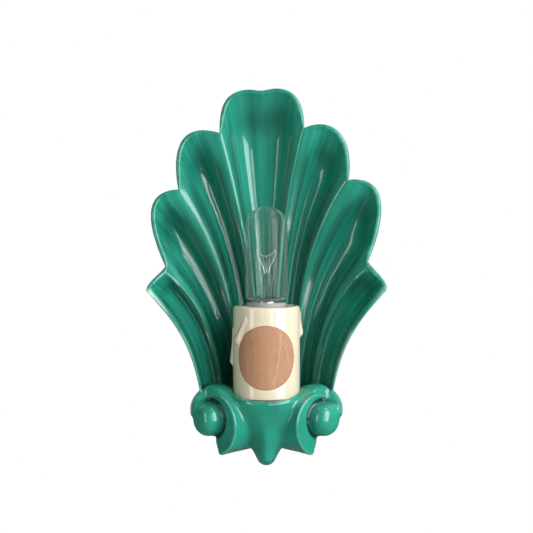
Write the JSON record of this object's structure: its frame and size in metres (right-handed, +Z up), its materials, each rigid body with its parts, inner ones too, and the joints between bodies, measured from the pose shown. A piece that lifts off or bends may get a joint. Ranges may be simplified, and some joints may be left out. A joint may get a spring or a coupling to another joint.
{
  "type": "wall sconce",
  "caption": "Ceramic wall sconce: a fluted shell over two scrolls, holding a candle sleeve that covers a screw holder with a small tubular lamp.",
  "frame": {"origin": "mouth of the hanging hole on the wall, on its axis", "axes": "+X to the viewer's right, +Y into the wall and out of the hanging hole, +Z up along the shell's height"},
  "size_m": [0.1415, 0.0792, 0.2259],
  "materials": {
    "green_glaze": "streaked sea-green gloss glaze, paler where it thins over edges",
    "cream_glaze": "cream gloss glaze",
    "kraft_paper": "creased brown paper",
    "clear_glass": "clear",
    "cap_metal": "bright thin sheet",
    "black_insulator": "dark glassy seal",
    "solder": "dull solder",
    "lamp_wire": "drawn nickel wire",
    "filament": "grey coiled tungsten",
    "holder_plastic": "moulded grey",
    "porcelain": "unglazed white porcelain",
    "brass": "stamped",
    "zinc_steel": "zinc plated",
    "block_plastic": "moulded off-white",
    "brown_insulation": "smooth sleeve",
    "blue_insulation": "smooth sleeve"
  },
  "bodies": {
    "fixture": {"shell_body": "green_glaze", "holder_base": "holder_plastic", "holder_skirt": "holder_plastic", "holder_insert": "porcelain", "holder_thread_shell": "brass", "centre_contact": "brass", "terminal_posts": "brass", "terminal_screws": "zinc_steel", "threaded_nipple": "zinc_steel", "seat_washer": "zinc_steel", "lower_washer": "zinc_steel", "lock_nut": "zinc_steel", "terminal_block": "block_plastic", "block_tubes": "brass", "block_screws": "zinc_steel", "live_wire": "brown_insulation", "neutral_wire": "blue_insulation"},
    "candle": {"candle_sleeve": "cream_glaze", "paper_label": "kraft_paper"},
    "bulb_tip": {"bulb_insulator": "black_insulator", "bulb_tip_contact": "solder"},
    "bulb": {"bulb_glass": "clear_glass", "bulb_stem": "clear_glass", "bulb_cap": "cap_metal", "bulb_lead_wires": "lamp_wire", "bulb_filament": "filament", "filament_supports": "lamp_wire"}
  },
  "joints": [
    {"name": "candle_lift", "type": "slide", "parent": "fixture", "child": "candle", "axis": [0, 0, 1], "range_m": [0, 0.085]},
    {"name": "bulb_lift", "type": "slide", "parent": "fixture", "child": "bulb_tip", "axis": [0, 0, 1], "range_m": [0, 0.0127]},
    {"name": "bulb_turn", "type": "hinge", "parent": "bulb_tip", "child": "bulb", "pos_m": [0, -0.054, -0.09], "axis": [0, 0, 1], "range_deg": [0, 1620]}
  ],
  "couplings": [
    {"joint": "bulb_lift", "follows": "bulb_turn", "m_per_rad": 0.00044882}
  ]
}
